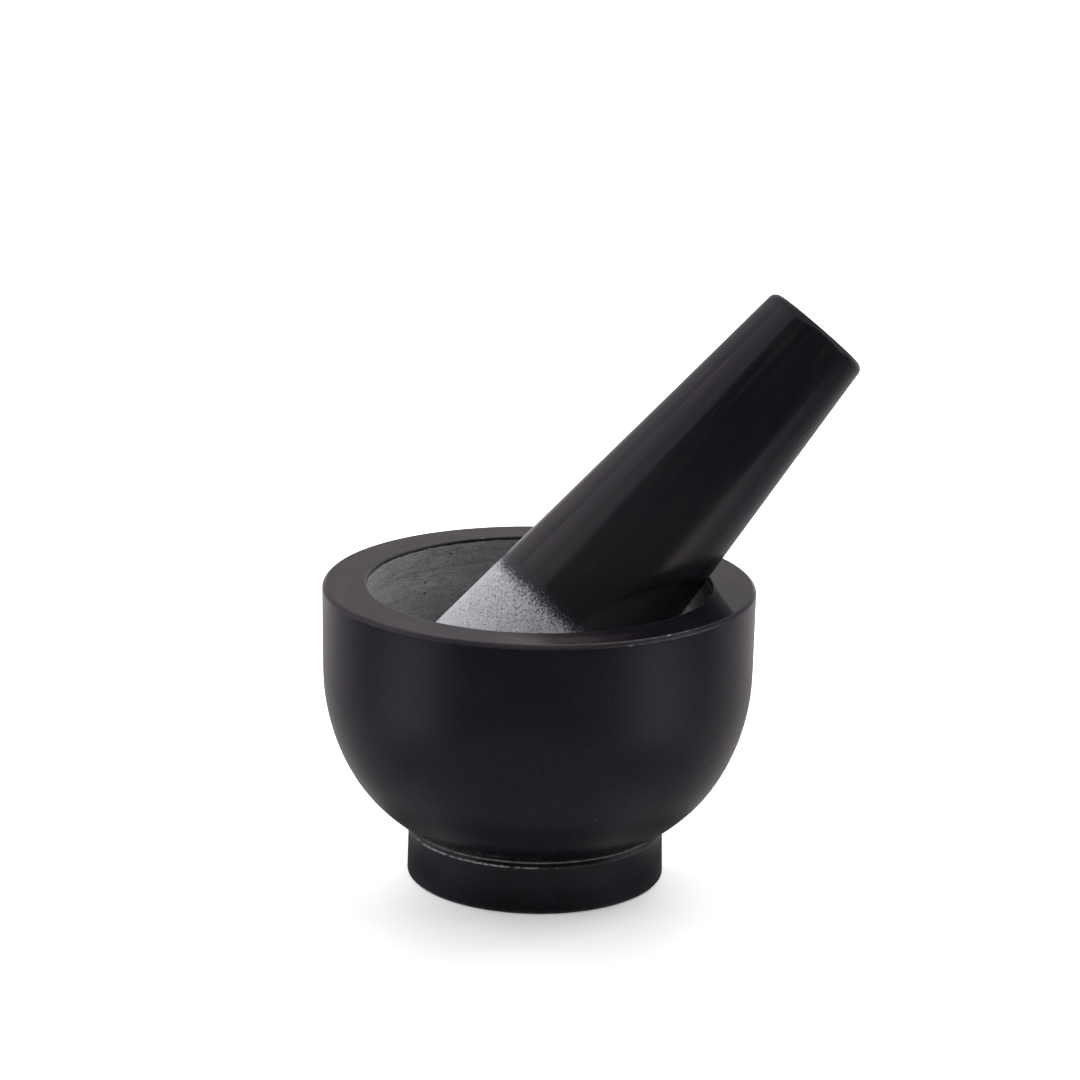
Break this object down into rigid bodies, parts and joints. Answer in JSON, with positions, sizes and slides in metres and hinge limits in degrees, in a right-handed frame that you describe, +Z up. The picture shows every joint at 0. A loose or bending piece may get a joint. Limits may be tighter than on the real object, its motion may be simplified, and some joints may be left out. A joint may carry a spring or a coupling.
{
  "type": "mortar and pestle",
  "caption": "Footed round stone mortar with a thick flat rim and a tapered stone pestle that leans in it and lifts out.",
  "frame": {"origin": "centre of the foot's flat underside, on the mortar's axis", "axes": "+Z up along the mortar's axis, +X to the right seen from the front, +Y away from the viewer; the pestle leans towards +X and a little towards +Y"},
  "size_m": [0.1724, 0.14, 0.1897],
  "materials": {
    "mortar_stone": "turned black stone, oiled to a satin outside, honed dark grey inside",
    "pestle_stone": "turned black stone, smooth satin grip, rough pale grey grinding head"
  },
  "bodies": {
    "mortar": {"mortar": "mortar_stone"},
    "pestle": {"pestle": "pestle_stone"}
  },
  "joints": [
    {"name": "pestle_lift", "type": "slide", "parent": "mortar", "child": "pestle", "axis": [0, 0, 1], "range_m": [0, 0.08]}
  ]
}
